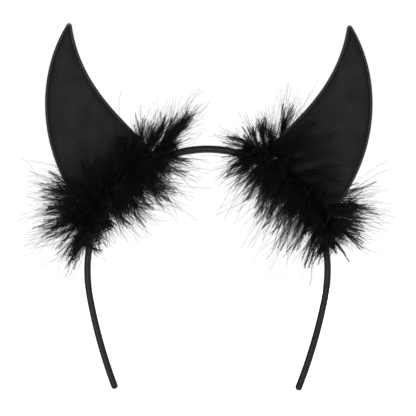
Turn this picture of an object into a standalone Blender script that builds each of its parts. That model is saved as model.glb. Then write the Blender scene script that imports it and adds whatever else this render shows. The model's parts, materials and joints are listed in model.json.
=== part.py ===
"""Horned costume headband with feather trim, as an assembly of separate pieces.

A slim sprung band runs over the head: a moulded core inside a satin sleeve, with a cap on each tip.
On each shoulder of the band stands a flat sewn horn: two fabric panels over a stiffener, closed by an
overlocked edge, held to the band by a felt tab with three thread tacks. A feather string loops round
the foot of each horn and carries tufts of plumes in front of it and behind it.

The band is one spring on the real object. Here it is cut at four places, where flex joints stand for
its bending: one beside the crown and one below the horn on each side.

Frame: metres, +Z up, X across the head, the wearer faces -Y. The origin is on the inner face of the
crown, at its middle, where the band rests on the head.
"""

import math

import bmesh
import bpy
import numpy as np
from mathutils import Matrix, Vector

MM = 0.001
SIDES = {"left": -1, "right": 1}

# Band: a half circle over the head, then two slacker arcs down each leg.
CROWN_RADIUS = 68.4 * MM
TEMPLE_RADIUS = 89.5 * MM
TEMPLE_TURN = math.radians(10.9)
LEG_RADIUS = 295.0 * MM
LEG_TURN = math.radians(9.9)
BAND_WIDTH = 5.6 * MM
CROWN_THICKNESS = 4.3 * MM
LEG_THICKNESS = 3.9 * MM
SLEEVE_WALL = 0.4 * MM
SLEEVE_GAP = 0.3 * MM
SECTION_POINTS = 10
SECTION_POWER = 2.8
TIP_CAP_TURN = math.radians(1.2)
TIP_DOME = 2.2 * MM

# Where the band flexes, as angles round the crown's circle, up from its level diameter.
FLEX_GAP = 0.8 * MM
CROWN_FLEX_ANGLE = math.radians(70)
LEG_FLEX_ANGLE = math.radians(15)
CROWN_STEPS = 7
SHOULDER_STEPS = 9
QUARTER_END_STEPS = 2
TEMPLE_STEPS = 2
LEG_STEPS = 6
HALF_GAP_TURN = FLEX_GAP / 2 / CROWN_RADIUS

# The crown's middle facet is the seat on the head, and its plane is the height zero.
CROWN_SPAN = math.pi - 2 * (CROWN_FLEX_ANGLE + HALF_GAP_TURN)
CROWN_FACET = CROWN_SPAN / CROWN_STEPS
CROWN_CENTRE_Z = -(CROWN_RADIUS - CROWN_THICKNESS / 2) * math.cos(CROWN_FACET / 2)

# Horn: the outer and inner edges are Bezier curves from the foot to a point that is then rounded.
HORN_FOOT_RADIUS = CROWN_RADIUS + CROWN_THICKNESS / 2 + 1.1 * MM
HORN_OUTER_FOOT = math.radians(22.5)
HORN_INNER_FOOT = math.radians(65)
HORN_OUTER_PULL = (Vector((100.2, -2.9)) * MM, Vector((99.8, 46.7)) * MM)
HORN_INNER_PULL = (Vector((43.6, 16.0)) * MM, Vector((74.8, 35.1)) * MM)
HORN_POINT = Vector((78.9, 76.3)) * MM
HORN_TIP_RADIUS = 1.6 * MM
HORN_EDGE_POINTS = 14
HORN_TIP_POINTS = 4
HORN_FOOT_POINTS = 7

# Layers of a horn, outwards from its middle plane.
STIFFENER_HALF = 0.75 * MM
LAYER_GAP = 0.3 * MM
PANEL_THICKNESS = 0.4 * MM
STITCHING_WALL = 0.35 * MM
STITCHING_DEPTH = HORN_TIP_RADIUS

# Felt tab round the band, gripping the horn's foot, and the tacks through both.
TAB_THICKNESS = 1.0 * MM
TAB_CLEARANCE = 0.7 * MM
TAB_START = math.radians(25)
TAB_END = math.radians(62)
TAB_HEIGHT = 10.5 * MM
TAB_STEPS = 7
TACK_ANGLES = [math.radians(a) for a in (30.5, 43.5, 56.5)]
TACK_RADIUS = CROWN_RADIUS + 8.5 * MM
TACK_THREAD = 0.35 * MM
TACK_HOLE = 0.7 * MM
TACK_KNOT = 1.0 * MM
TACK_KNOT_HEIGHT = 0.7 * MM

# Feather string and its tufts.
STRING_RADIUS = 0.75 * MM
STRING_OFFSET = 5.8 * MM
STRING_LIFT = 4.3 * MM
STRING_START = math.radians(24)
STRING_END = math.radians(64)
TUFTS_PER_FACE = 4
TUFT_START = math.radians(9)
TUFT_END = math.radians(73)
TUFT_GAP = 0.4 * MM
TUFT_LIFT = 3.0 * MM
TUFT_REACH = 16.5 * MM
TUFT_LENGTH = 21.0 * MM
TUFT_DEPTH = 16.0 * MM
TUFT_FROM_PLANE = 6.9 * MM

# Every material is dyed black, so only the gloss and the depth of the black tell them apart.
MATERIALS = {
    "band_core": ((0.030, 0.030, 0.032), 0.45),
    "satin": ((0.026, 0.026, 0.027), 0.42),
    "horn_twill": ((0.020, 0.020, 0.020), 0.70),
    "stiffener_felt": ((0.045, 0.045, 0.045), 0.95),
    "thread": ((0.040, 0.040, 0.042), 0.40),
    "tab_felt": ((0.015, 0.015, 0.015), 0.95),
    "feather": ((0.006, 0.006, 0.006), 0.60),
}


# ---------------------------------------------------------------- scene and objects


def clear_scene():
    for obj in list(bpy.data.objects):
        bpy.data.objects.remove(obj)


def new_collection(name):
    collection = bpy.data.collections.new(name)
    bpy.context.scene.collection.children.link(collection)
    return collection


def new_material(name, colour, roughness):
    material = bpy.data.materials.new(name)
    material.use_nodes = True
    surface = material.node_tree.nodes["Principled BSDF"]
    surface.inputs["Base Color"].default_value = (*colour, 1)
    surface.inputs["Roughness"].default_value = roughness
    surface.inputs["Metallic"].default_value = 0
    return material


clear_scene()
PARTS = new_collection("feather_trimmed_horn_headband")
CUTTERS = new_collection("cutters")
FINISHES = {name: new_material(name, *look) for name, look in MATERIALS.items()}


def new_object(name, data, finish=None, collection=PARTS):
    obj = bpy.data.objects.new(name, data)
    collection.objects.link(obj)
    if finish:
        data.materials.append(FINISHES[finish])
    return obj


def object_from(bm, name, finish=None, collection=PARTS):
    """The bmesh as an object, with its faces turned outwards and its round sides smooth."""
    bmesh.ops.recalc_face_normals(bm, faces=bm.faces)
    mesh = bpy.data.meshes.new(name)
    bm.to_mesh(mesh)
    bm.free()
    mesh.shade_smooth()
    mesh.set_sharp_from_angle(angle=math.radians(35))
    return new_object(name, mesh, finish, collection)


def give_wall(obj, thickness):
    """Thickens an open surface evenly to both sides."""
    wall = obj.modifiers.new("wall", "SOLIDIFY")
    wall.thickness = thickness
    wall.offset = 0
    wall.use_even_offset = True


def cut(obj, *cutters):
    for cutter in cutters:
        boolean = obj.modifiers.new("cut_" + cutter.name, "BOOLEAN")
        boolean.operation = "DIFFERENCE"
        boolean.object = cutter
        cutter.hide_render = True
        cutter.display_type = "WIRE"


def joint_empty(name, place, parent=None):
    empty = bpy.data.objects.new(name, None)
    PARTS.objects.link(empty)
    empty.location = place if parent is None else place - parent.location
    empty.parent = parent
    return empty


def hang_on(joint, objects):
    """Parents pieces to the empty on their joint's axis, leaving them where they are."""
    for obj in objects:
        obj.parent = joint
        obj.matrix_parent_inverse = joint.matrix_world.inverted()


# ---------------------------------------------------------------- band geometry


def on_crown(side, radius, angle, y=0.0):
    """A point at this radius and angle round the crown's circle, on one side of the head."""
    return Vector((side * radius * math.cos(angle), y, CROWN_CENTRE_Z + radius * math.sin(angle)))


def band_section(side, angle, thickness, width):
    """The band's rounded rectangular outline as a ring, standing across the crown at an angle.

    A facet, and not a corner, lies in the middle of each face, exactly at the stated size.
    """
    step = 2 * math.pi / SECTION_POINTS
    squareness = 2 / SECTION_POWER
    middle_facet = math.cos(step / 2) ** squareness
    ring = []
    for i in range(SECTION_POINTS):
        turn = (i + 0.5) * step
        across, along = math.cos(turn), math.sin(turn)
        radial = math.copysign(abs(across) ** squareness, across) * thickness / 2 / middle_facet
        y = math.copysign(abs(along) ** squareness, along) * width / 2 / middle_facet
        ring.append(on_crown(side, CROWN_RADIUS + radial, angle, y))
    return ring


def ring_edges(bm, points):
    verts = [bm.verts.new(p) for p in points]
    return [bm.edges.new((verts[i - 1], verts[i])) for i in range(len(verts))]


def leg_arcs(side, first_angle, leg_turn):
    """The bends from a place on the crown's circle down the leg: centre, turn and steps of each."""
    crown_centre = Vector((0, 0, CROWN_CENTRE_Z))
    temple_centre = Vector((side * (CROWN_RADIUS - TEMPLE_RADIUS), 0, CROWN_CENTRE_Z))
    into_leg = Vector((-side * math.cos(TEMPLE_TURN), 0, math.sin(TEMPLE_TURN)))
    leg_centre = temple_centre + into_leg * (LEG_RADIUS - TEMPLE_RADIUS)
    return [
        (crown_centre, first_angle, QUARTER_END_STEPS),
        (temple_centre, TEMPLE_TURN, TEMPLE_STEPS),
        (leg_centre, leg_turn, LEG_STEPS),
    ]


def sweep(bm, edges, side, arcs):
    """Bends a ring of edges through arcs in the band's plane, and returns the last ring's edges."""
    for centre, turn, steps in arcs:
        made = bmesh.ops.spin(
            bm, geom=edges, cent=centre, axis=(0, 1, 0), angle=side * turn, steps=steps
        )
        edges = [e for e in made["geom_last"] if isinstance(e, bmesh.types.BMEdge)]
    return edges


def close_ends(bm):
    bmesh.ops.holes_fill(bm, edges=[e for e in bm.edges if e.is_boundary], sides=0)


def core_and_sleeve(names, side, start, thickness, arcs):
    """One stretch of the moulded core and of the satin sleeve round it."""
    inset = SLEEVE_WALL + SLEEVE_GAP
    core = bmesh.new()
    section = band_section(side, start, thickness - 2 * inset, BAND_WIDTH - 2 * inset)
    sweep(core, ring_edges(core, section), side, arcs)
    close_ends(core)
    sleeve = bmesh.new()
    section = band_section(side, start, thickness - SLEEVE_WALL, BAND_WIDTH - SLEEVE_WALL)
    sweep(sleeve, ring_edges(sleeve, section), side, arcs)
    pair = object_from(core, names[0], "band_core"), object_from(sleeve, names[1], "satin")
    give_wall(pair[1], SLEEVE_WALL)
    return list(pair)


def crown():
    start = CROWN_FLEX_ANGLE + HALF_GAP_TURN
    arcs = [(Vector((0, 0, CROWN_CENTRE_Z)), -CROWN_SPAN, CROWN_STEPS)]
    return core_and_sleeve(("core_crown", "sleeve_crown"), -1, start, CROWN_THICKNESS, arcs)


def shoulder(name, side):
    start = CROWN_FLEX_ANGLE - HALF_GAP_TURN
    turn = start - LEG_FLEX_ANGLE - HALF_GAP_TURN
    arcs = [(Vector((0, 0, CROWN_CENTRE_Z)), turn, SHOULDER_STEPS)]
    names = f"{name}_core_shoulder", f"{name}_sleeve_shoulder"
    return core_and_sleeve(names, side, start, CROWN_THICKNESS, arcs)


def leg(name, side):
    start = LEG_FLEX_ANGLE - HALF_GAP_TURN
    arcs = leg_arcs(side, start, LEG_TURN - TIP_CAP_TURN)
    names = f"{name}_core_leg", f"{name}_sleeve_leg"
    return core_and_sleeve(names, side, start, LEG_THICKNESS, arcs)


def tip_cap(name, side):
    """The rounded end of the leg: a short stretch of sleeve that closes in a dome."""
    bm = bmesh.new()
    start = LEG_FLEX_ANGLE - HALF_GAP_TURN
    section = band_section(side, start, LEG_THICKNESS - SLEEVE_WALL, BAND_WIDTH - SLEEVE_WALL)
    arcs = leg_arcs(side, start, LEG_TURN - TIP_CAP_TURN)
    edges = sweep(bm, ring_edges(bm, section), side, arcs)
    last = {v for e in edges for v in e.verts}
    bmesh.ops.delete(bm, geom=[v for v in bm.verts if v not in last], context="VERTS")
    edges = list(bm.edges)
    leg_centre = arcs[-1][0]
    gap = SLEEVE_GAP / LEG_RADIUS
    bmesh.ops.rotate(
        bm, verts=bm.verts, cent=leg_centre, matrix=Matrix.Rotation(side * gap, 3, "Y")
    )
    edges = sweep(bm, edges, side, [(leg_centre, TIP_CAP_TURN, 2)])
    middle = sum((v.co for e in edges for v in e.verts), Vector()) / (2 * len(edges))
    heading = (middle - leg_centre).cross(Vector((0, -side, 0))).normalized()
    dome_rings = 3
    for i in range(1, dome_rings + 1):
        made = bmesh.ops.extrude_edge_only(bm, edges=edges)
        edges = [g for g in made["geom"] if isinstance(g, bmesh.types.BMEdge)]
        verts = list({v for e in edges for v in e.verts})
        turns = [math.radians(80) * k / dome_rings for k in (i - 1, i)]
        shrink = math.cos(turns[1]) / math.cos(turns[0])
        rise = TIP_DOME * (math.sin(turns[1]) - math.sin(turns[0]))
        bmesh.ops.translate(bm, verts=verts, vec=heading * rise)
        middle = middle + heading * rise
        bmesh.ops.scale(bm, verts=verts, vec=(shrink,) * 3, space=Matrix.Translation(-middle))
    bmesh.ops.holes_fill(bm, edges=edges, sides=0)
    cap = object_from(bm, f"{name}_tip_cap", "satin")
    give_wall(cap, SLEEVE_WALL)
    return [cap]


# ---------------------------------------------------------------- horn geometry


def bezier(points, t):
    a, b, c, d = points
    place = a * (1 - t) ** 3 + b * 3 * t * (1 - t) ** 2 + c * 3 * t**2 * (1 - t) + d * t**3
    heading = (b - a) * (1 - t) ** 2 + (c - b) * 2 * t * (1 - t) + (d - c) * t**2
    return place, heading.normalized()


def horn_edges():
    """The horn's outer and inner edges, foot to point, as control points in X and Z."""
    feet = [
        on_crown(1, HORN_FOOT_RADIUS, angle).xz for angle in (HORN_OUTER_FOOT, HORN_INNER_FOOT)
    ]
    return (
        (feet[0], *HORN_OUTER_PULL, HORN_POINT),
        (feet[1], *HORN_INNER_PULL, HORN_POINT),
    )


def inset_edge(points, t, distance, towards):
    """A point on an edge, moved into the horn: to its left (1) or its right (-1), going up."""
    place, heading = bezier(points, t)
    return place + Vector((-heading.y, heading.x)) * towards * distance


def tip_circle():
    """The circle that rounds the horn's point: its centre, and where it touches both edges."""
    outer, inner = horn_edges()
    turns = np.linspace(0.6, 1.0, 400)
    first = np.array([inset_edge(outer, t, HORN_TIP_RADIUS, 1) for t in turns])
    second = np.array([inset_edge(inner, t, HORN_TIP_RADIUS, -1) for t in turns])
    apart = np.linalg.norm(first[:, None] - second[None], axis=2)
    i, j = np.unravel_index(apart.argmin(), apart.shape)
    return Vector(first[i]), turns[i], turns[j]


def horn_outline(name, inset, foot_drop=0.0):
    """The horn's outline in X and Z, inset from its free edges, as a closed list of points.

    foot_drop lengthens the foot towards the band, for cutters that must pass out of it.
    """
    outer, inner = horn_edges()
    centre, outer_end, inner_end = tip_circle()
    points = [
        inset_edge(outer, outer_end * i / (HORN_EDGE_POINTS - 1), inset, 1)
        for i in range(HORN_EDGE_POINTS)
    ]
    start, end = (
        math.atan2(*reversed(inset_edge(edge, t, 0, 1) - centre))
        for edge, t in ((outer, outer_end), (inner, inner_end))
    )
    radius = HORN_TIP_RADIUS - inset
    if radius > 0:
        for i in range(1, HORN_TIP_POINTS):
            turn = start + (end - start) * i / HORN_TIP_POINTS
            points.append(centre + Vector((math.cos(turn), math.sin(turn))) * radius)
        points.append(inset_edge(inner, inner_end, inset, -1))
    points += [
        inset_edge(inner, inner_end * i / (HORN_EDGE_POINTS - 1), inset, -1)
        for i in reversed(range(HORN_EDGE_POINTS - 1))
    ]
    foot_span = HORN_OUTER_FOOT - HORN_INNER_FOOT
    narrowed = inset / HORN_FOOT_RADIUS
    for i in range(1 if not foot_drop else 0, HORN_FOOT_POINTS + (1 if foot_drop else 0)):
        share = i / HORN_FOOT_POINTS
        angle = HORN_INNER_FOOT - narrowed + (foot_span + 2 * narrowed) * share
        points.append(on_crown(1, HORN_FOOT_RADIUS - foot_drop, angle).xz)
    return [Vector((SIDES[name] * p.x, p.y)) for p in points]


def plate(name, outline, y, half, finish=None, collection=PARTS):
    """A flat piece of this outline in X and Z, centred at y, as a mesh."""
    curve = bpy.data.curves.new(name, "CURVE")
    curve.dimensions = "2D"
    curve.fill_mode = "BOTH"
    curve.extrude = half
    spline = curve.splines.new("POLY")
    spline.points.add(len(outline) - 1)
    spline.use_cyclic_u = True
    for point, place in zip(spline.points, outline):
        point.co = (*place, 0, 1)
    drawn = new_object(name + "_outline", curve, collection=CUTTERS)
    graph = bpy.context.evaluated_depsgraph_get()
    bm = bmesh.new()
    bm.from_mesh(bpy.data.meshes.new_from_object(drawn.evaluated_get(graph)))
    bpy.data.objects.remove(drawn)
    bmesh.ops.remove_doubles(bm, verts=bm.verts, dist=0.001 * MM)
    upright = Matrix.Translation((0, y, 0)) @ Matrix.Rotation(math.pi / 2, 4, "X")
    bmesh.ops.transform(bm, matrix=upright, verts=bm.verts)
    return object_from(bm, name, finish, collection)


def tack_drill(name, i, angle):
    """A bar along Y through the horn's foot, for a thread tack to pass."""
    bm = bmesh.new()
    length = 20 * MM
    side = SIDES[name]
    place = Matrix.Translation(on_crown(side, TACK_RADIUS, angle))
    bmesh.ops.create_cone(
        bm, cap_ends=True, segments=8, radius1=TACK_HOLE, radius2=TACK_HOLE, depth=length,
        matrix=place @ Matrix.Rotation(math.pi / 2, 4, "X"),
    )
    return object_from(bm, f"{name}_tack_drill_{i}", collection=CUTTERS)


def horn(name, drills):
    """Stiffener, two panels and the overlocked edge of one horn."""
    inset = STITCHING_WALL + LAYER_GAP
    panel_middle = STIFFENER_HALF + LAYER_GAP + PANEL_THICKNESS / 2
    stack_half = panel_middle + PANEL_THICKNESS / 2
    slot_half = stack_half + LAYER_GAP
    body = horn_outline(name, inset)
    stitching_half = slot_half + STITCHING_WALL
    layers = [
        plate(f"{name}_horn_stiffener", body, 0, STIFFENER_HALF, "stiffener_felt"),
        plate(f"{name}_horn_front_panel", body, -panel_middle, PANEL_THICKNESS / 2, "horn_twill"),
        plate(f"{name}_horn_back_panel", body, panel_middle, PANEL_THICKNESS / 2, "horn_twill"),
    ]
    for layer in layers:
        cut(layer, *drills)
    stitching = plate(
        f"{name}_horn_edge_stitching", horn_outline(name, 0), 0, stitching_half, "thread",
    )
    foot_drop = 3 * MM
    slot = plate(
        f"{name}_slot", horn_outline(name, STITCHING_WALL, foot_drop), 0, slot_half,
        collection=CUTTERS,
    )
    window = plate(
        f"{name}_window", horn_outline(name, STITCHING_DEPTH, foot_drop), 0,
        stitching_half + STITCHING_WALL, collection=CUTTERS,
    )
    cut(stitching, slot, window)
    return [*layers, stitching], stitching_half


def base_tab(name, side, horn_half, drills):
    """A felt strap, bent under the band like a keyhole and closed on both faces of the horn."""
    neck = horn_half + LAYER_GAP + TAB_THICKNESS / 2
    bulb_y = BAND_WIDTH / 2 + TAB_CLEARANCE + TAB_THICKNESS / 2
    bulb_r = CROWN_THICKNESS / 2 + TAB_CLEARANCE + TAB_THICKNESS / 2
    half_open = math.asin(neck / bulb_y)
    bulb_steps = 10
    profile = [(CROWN_RADIUS + TAB_HEIGHT, neck)]
    for i in range(bulb_steps + 1):
        turn = half_open + (2 * math.pi - 2 * half_open) * i / bulb_steps
        profile.append((CROWN_RADIUS + bulb_r * math.cos(turn), bulb_y * math.sin(turn)))
    profile.append((CROWN_RADIUS + TAB_HEIGHT, -neck))
    bm = bmesh.new()
    verts = [bm.verts.new(on_crown(side, radius, TAB_END, y)) for radius, y in profile]
    edges = [bm.edges.new(pair) for pair in zip(verts, verts[1:])]
    sweep(bm, edges, side, [(Vector((0, 0, CROWN_CENTRE_Z)), TAB_END - TAB_START, TAB_STEPS)])
    tab = object_from(bm, f"{name}_horn_base_tab", "tab_felt")
    give_wall(tab, TAB_THICKNESS)
    cut(tab, *drills)
    return [tab], neck + TAB_THICKNESS / 2


def tack(name, side, i, angle, tab_face):
    """Thread pulled through the tab and the horn, with a flat knot on each face: a turned shape."""
    inner = tab_face + LAYER_GAP
    outer = inner + TACK_KNOT_HEIGHT
    profile = [
        (0, outer), (0.7 * TACK_KNOT, outer), (TACK_KNOT, outer - 0.3 * TACK_KNOT_HEIGHT),
        (TACK_KNOT, inner), (TACK_THREAD, inner),
    ]
    profile += [(radius, -height) for radius, height in reversed(profile)]
    bm = bmesh.new()
    verts = [bm.verts.new((radius, 0, height)) for radius, height in profile]
    for pair in zip(verts, verts[1:]):
        bm.edges.new(pair)
    mesh = bpy.data.meshes.new(f"{name}_tack_stitch_{i}")
    bm.to_mesh(mesh)
    bm.free()
    obj = new_object(mesh.name, mesh, "thread")
    obj.location = on_crown(side, TACK_RADIUS, angle)
    obj.rotation_euler = (math.pi / 2, 0, 0)
    turned = obj.modifiers.new("turned", "SCREW")
    turned.steps = turned.render_steps = 8
    turned.use_merge_vertices = True
    turned.merge_threshold = 0.00001
    return obj


# ---------------------------------------------------------------- feathers


def feather_string(name, side):
    """The twisted string that holds the plumes, as a loop round the foot of the horn."""
    radius = CROWN_RADIUS + STRING_LIFT
    end_turn = STRING_OFFSET / radius
    run_steps, end_steps = 8, 5
    span = STRING_END - STRING_START
    route = []
    for face, first in ((-1, STRING_START), (1, STRING_END)):
        along = -face
        for i in range(run_steps):
            angle = first + along * span * i / run_steps
            route.append((angle, face * STRING_OFFSET))
        last = first + along * span
        for i in range(end_steps):
            turn = math.pi * i / end_steps
            angle = last + along * end_turn * math.sin(turn)
            route.append((angle, face * STRING_OFFSET * math.cos(turn)))
    curve = bpy.data.curves.new(f"{name}_feather_string", "CURVE")
    curve.dimensions = "3D"
    curve.bevel_depth = STRING_RADIUS
    curve.bevel_resolution = 2
    spline = curve.splines.new("POLY")
    spline.points.add(len(route) - 1)
    spline.use_cyclic_u = True
    for point, (angle, y) in zip(spline.points, route):
        point.co = (*on_crown(side, radius, angle, y), 1)
    return new_object(curve.name, curve, "thread")


def tuft(name, side, face, start, end):
    """A tuft of plumes as the plain solid that its fluff fills: a slice of a half ellipsoid."""
    bm = bmesh.new()
    middle = (start + end) / 2
    centre = on_crown(side, CROWN_RADIUS + TUFT_LIFT, middle)
    outwards = (centre - Vector((0, 0, CROWN_CENTRE_Z))).normalized()
    along = outwards.cross(Vector((0, 1, 0)))
    axes = Matrix((outwards * TUFT_REACH, along * TUFT_LENGTH, Vector((0, TUFT_DEPTH, 0))))
    place = Matrix.Translation(centre + Vector((0, face * TUFT_FROM_PLANE * 0.5, 0)))
    bmesh.ops.create_uvsphere(
        bm, u_segments=14, v_segments=9, radius=1, matrix=place @ axes.transposed().to_4x4()
    )
    flat = centre + Vector((0, face * TUFT_FROM_PLANE, 0))
    gap = TUFT_GAP / 2
    planes = [(flat, Vector((0, -face, 0)))]
    for angle, outward in ((start, -1), (end, 1)):
        spoke = on_crown(side, 1, angle) - Vector((0, 0, CROWN_CENTRE_Z))
        normal = spoke.cross(Vector((0, 1, 0))) * side * outward
        planes.append((on_crown(side, CROWN_RADIUS, angle) - normal * gap, normal))
    for place, normal in planes:
        bmesh.ops.bisect_plane(
            bm, geom=[*bm.verts, *bm.edges, *bm.faces], plane_co=place, plane_no=normal,
            clear_outer=True,
        )
        close_ends(bm)
    return object_from(bm, name, "feather")


def tufts(name, side):
    step = (TUFT_END - TUFT_START) / TUFTS_PER_FACE
    made = []
    for face_name, face in (("front", -1), ("back", 1)):
        for i in range(TUFTS_PER_FACE):
            start = TUFT_END - (i + 1) * step
            made.append(tuft(f"{name}_{face_name}_plumes_{i + 1}", side, face, start, start + step))
    return made


# ---------------------------------------------------------------- assembly


def build_side(name, side):
    flex_at = on_crown(side, CROWN_RADIUS, CROWN_FLEX_ANGLE)
    leg_flex_at = on_crown(side, CROWN_RADIUS, LEG_FLEX_ANGLE)
    half_tab = (TAB_END - TAB_START) / 2
    tilt_radius = CROWN_RADIUS * (1 + math.cos(half_tab)) / 2
    tilt_at = on_crown(side, tilt_radius, TAB_START + half_tab)
    flex = joint_empty(f"{name}_band_flex_axis", flex_at)
    leg_flex = joint_empty(f"{name}_leg_flex_axis", leg_flex_at, flex)
    tilt = joint_empty(f"{name}_horn_tilt_axis", tilt_at, flex)
    bpy.context.view_layer.update()

    drills = [tack_drill(name, i + 1, angle) for i, angle in enumerate(TACK_ANGLES)]
    layers, horn_half = horn(name, drills)
    tab, tab_face = base_tab(name, side, horn_half, drills)
    tacks = [tack(name, side, i + 1, a, tab_face) for i, a in enumerate(TACK_ANGLES)]
    hang_on(flex, shoulder(name, side))
    hang_on(leg_flex, leg(name, side) + tip_cap(name, side))
    hang_on(tilt, layers + tab + tacks + [feather_string(name, side)] + tufts(name, side))
    print(name, "flex axis", flex_at[:], "leg flex axis", leg_flex_at[:], "tilt axis", tilt_at[:])


crown()
for side_name, side_sign in SIDES.items():
    build_side(side_name, side_sign)
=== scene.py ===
# %% [markdown]
# # A devil horn headband with feather trim
#
# The real object is a thin sprung band in a ribbed satin sleeve. Two flat horns of black twill stand on it,
# closed by an overlocked edge, and loose marabou plumes hide the foot of each horn. Everything is dyed black,
# so what tells the pieces apart is their surface: how rough, how fuzzy and how deep each black is.
#
# The model's pieces and their places come from a imported frame, which is loaded first and never moved. Each
# visible piece is then made finer here, in the same place, and all but the sleeve's shoulder and leg
# stretches are told which body they move with.

# %% Load the frame
import json
import math

import bmesh
import bpy
import numpy as np
from mathutils import Matrix, Vector, noise


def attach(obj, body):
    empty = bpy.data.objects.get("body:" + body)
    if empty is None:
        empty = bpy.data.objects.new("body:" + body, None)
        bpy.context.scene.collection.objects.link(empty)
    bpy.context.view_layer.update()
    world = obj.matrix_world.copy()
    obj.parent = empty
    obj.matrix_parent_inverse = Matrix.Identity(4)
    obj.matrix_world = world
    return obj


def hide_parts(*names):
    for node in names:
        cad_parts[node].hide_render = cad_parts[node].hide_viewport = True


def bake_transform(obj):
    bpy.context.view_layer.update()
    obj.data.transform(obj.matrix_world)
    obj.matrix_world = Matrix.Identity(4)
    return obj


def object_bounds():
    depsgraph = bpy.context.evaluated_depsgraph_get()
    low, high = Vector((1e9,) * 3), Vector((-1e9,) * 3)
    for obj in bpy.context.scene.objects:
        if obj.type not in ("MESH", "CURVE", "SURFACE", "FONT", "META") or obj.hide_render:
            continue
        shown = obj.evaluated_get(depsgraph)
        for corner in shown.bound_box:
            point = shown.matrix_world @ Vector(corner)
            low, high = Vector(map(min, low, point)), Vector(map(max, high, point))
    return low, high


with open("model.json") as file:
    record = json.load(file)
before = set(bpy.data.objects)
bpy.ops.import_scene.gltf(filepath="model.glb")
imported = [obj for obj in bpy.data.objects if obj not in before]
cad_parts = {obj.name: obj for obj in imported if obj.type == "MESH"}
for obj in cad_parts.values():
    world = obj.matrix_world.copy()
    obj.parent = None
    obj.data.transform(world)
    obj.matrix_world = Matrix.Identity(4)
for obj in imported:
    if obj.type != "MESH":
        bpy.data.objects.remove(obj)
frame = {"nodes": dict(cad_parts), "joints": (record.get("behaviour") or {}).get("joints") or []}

MM = 0.001
SIDES = {"left": -1, "right": 1}
cad_low, cad_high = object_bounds()
joints = {joint["name"]: joint for joint in frame["joints"]}
print("size in mm:", [round(s / MM, 1) for s in cad_high - cad_low])

# %% [markdown]
# ## Colours and a node helper
#
# Colours are easiest to judge as the sRGB hex values of a paint chart, but a shader works in linear light, so
# one function turns the first into the second. A second small function adds a shader node with its settings
# and links, so that each material below reads as a short list of what it is made of.

# %% Colour and material helpers
def linear(hex_colour):
    channels = [int(hex_colour[i:i + 2], 16) / 255 for i in (1, 3, 5)]
    return [c / 12.92 if c <= 0.04045 else ((c + 0.055) / 1.055) ** 2.4 for c in channels] + [1.0]


def new_material(name, hex_colour, **shader_values):
    """A material whose Principled shader has these constant values, and the shader and tree to add to."""
    material = bpy.data.materials.new(name)
    material.use_nodes = True
    shader = material.node_tree.nodes["Principled BSDF"]
    shader.inputs["Base Color"].default_value = linear(hex_colour)
    for socket, value in shader_values.items():
        shader.inputs[socket.replace("_", " ")].default_value = value
    return material, shader, material.node_tree


def add_node(tree, kind, settings=None, values=None, links=None):
    """Adds a node: settings are its properties, values its sockets' numbers, links its sockets' sources."""
    node = tree.nodes.new(kind)
    for name, value in (settings or {}).items():
        setattr(node, name, value)
    for socket, value in (values or {}).items():
        node.inputs[socket].default_value = value
    for socket, source in (links or {}).items():
        tree.links.new(source, node.inputs[socket])
    return node


print("sRGB mid grey is", round(linear("#808080")[0], 3), "in linear light")

# %% [markdown]
# ## Camera
#
# The view is straight from the front, level with the middle of the headband, through a long lens from well
# back. A long lens keeps the two horns the same size and shows the band edge-on, as product views do. The
# frame is 237 mm wide at the headband, so the distance follows from the lens. A light thing never hangs quite
# plumb for such a view, so the camera is rolled by half a degree.

# %% Camera
VIEW_WIDTH = 237.1 * MM
VIEW_HEIGHT_MIDDLE = -31.3 * MM
VIEW_ROLL = math.radians(-0.45)
LENS_MM = 135
SEEN_RANGE = (10 * MM, 10.0)

lens_data = bpy.data.cameras.new("front_camera")
lens_data.lens = LENS_MM
lens_data.dof.use_dof = False
camera = bpy.data.objects.new("front_camera", lens_data)
bpy.context.scene.collection.objects.link(camera)
camera_distance = VIEW_WIDTH * LENS_MM / lens_data.sensor_width
camera.location = (0, -camera_distance, VIEW_HEIGHT_MIDDLE)
camera.rotation_euler = (math.pi / 2, VIEW_ROLL, 0)
lens_data.clip_start, lens_data.clip_end = SEEN_RANGE
bpy.context.scene.camera = camera
print("camera stands", round(camera_distance / MM), "mm away")

# %% [markdown]
# ## Studio
#
# Black fabric is judged by soft light on it, and its outline by a bright ground behind it. The room is white
# to the eye, but it gives only a dim light, so that the sides of the round band fall off into black instead
# of catching a white rim. A light path node makes the difference between the two.

# %% Room light
ROOM_LIGHT = 0.16

room = bpy.data.worlds.new("white_room")
bpy.context.scene.world = room
room.use_nodes = True
room_tree = room.node_tree
backdrop = room_tree.nodes["Background"]
ray = add_node(room_tree, "ShaderNodeLightPath")
brightness = add_node(
    room_tree, "ShaderNodeMapRange", values={"To Min": ROOM_LIGHT, "To Max": 1.0},
    links={"Value": ray.outputs["Is Camera Ray"]},
)
backdrop.inputs["Color"].default_value = linear("#ffffff")
room_tree.links.new(brightness.outputs["Result"], backdrop.inputs["Strength"])
bpy.context.scene.view_settings.view_transform = "Standard"
print("the room lights the headband with", ROOM_LIGHT, "of the brightness it shows")

# %% [markdown]
# One broad softbox over the camera would be the simplest lamp, but it shows every black alike. So the key
# softbox is small, low and to the left: it rakes across the twill and catches the stitches. A weaker one on
# the right lifts the plumes there, and one behind the headband lights its rear.

# %% Softboxes
# name: place and size in metres, power in watts
SOFTBOXES = {
    "key_softbox": ((-0.30, -1.05, -0.03), 0.20, 9.8),
    "side_softbox": ((0.9, -0.5, 0.15), 0.4, 3),
    "back_softbox": ((0.25, 1.1, 0.15), 0.4, 5),
}


def softbox(name, place, aim, size, power):
    light = bpy.data.lights.new(name, "AREA")
    light.shape, light.size, light.energy = "DISK", size, power
    lamp = bpy.data.objects.new(name, light)
    lamp.location = place
    lamp.rotation_euler = (Vector(aim) - Vector(place)).to_track_quat("-Z", "Y").to_euler()
    bpy.context.scene.collection.objects.link(lamp)


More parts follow.
